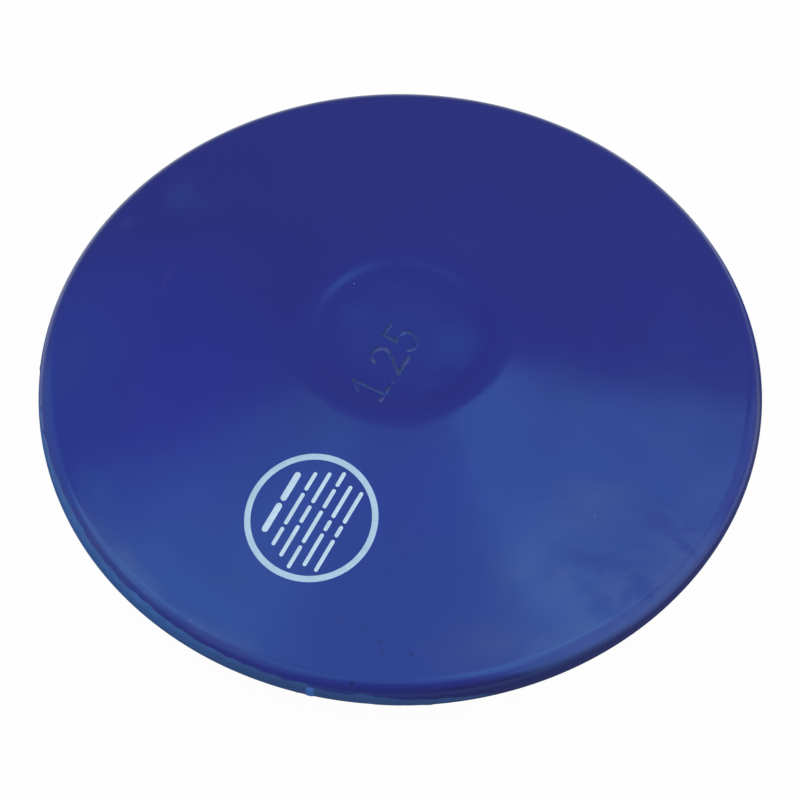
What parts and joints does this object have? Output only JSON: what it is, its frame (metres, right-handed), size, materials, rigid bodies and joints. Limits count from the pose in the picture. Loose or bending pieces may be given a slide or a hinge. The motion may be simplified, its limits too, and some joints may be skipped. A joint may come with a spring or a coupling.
{
  "type": "discus",
  "caption": "Throwing discus of moulded blue rubber that tapers to a half-round rim, with a shallow recessed hub on each face, a steel core and a pale printed ring.",
  "frame": {"origin": "on the disc's axis, at the height of the lower hub's land, which is the lowest point of the part and what it rests on", "axes": "+Z along the disc's axis, out of the upper face that carries the printed ring; -Y is the side nearest the camera in the picture, and +X is to its right"},
  "size_m": [0.2, 0.2, 0.04],
  "materials": {
    "moulded_rubber": "satin",
    "punched_steel": "satin",
    "pale_ink": "satin"
  },
  "bodies": {
    "root": {"lower_rubber_half": "moulded_rubber", "upper_rubber_half": "moulded_rubber", "steel_core": "punched_steel", "printed_ring": "pale_ink"}
  },
  "joints": []
}
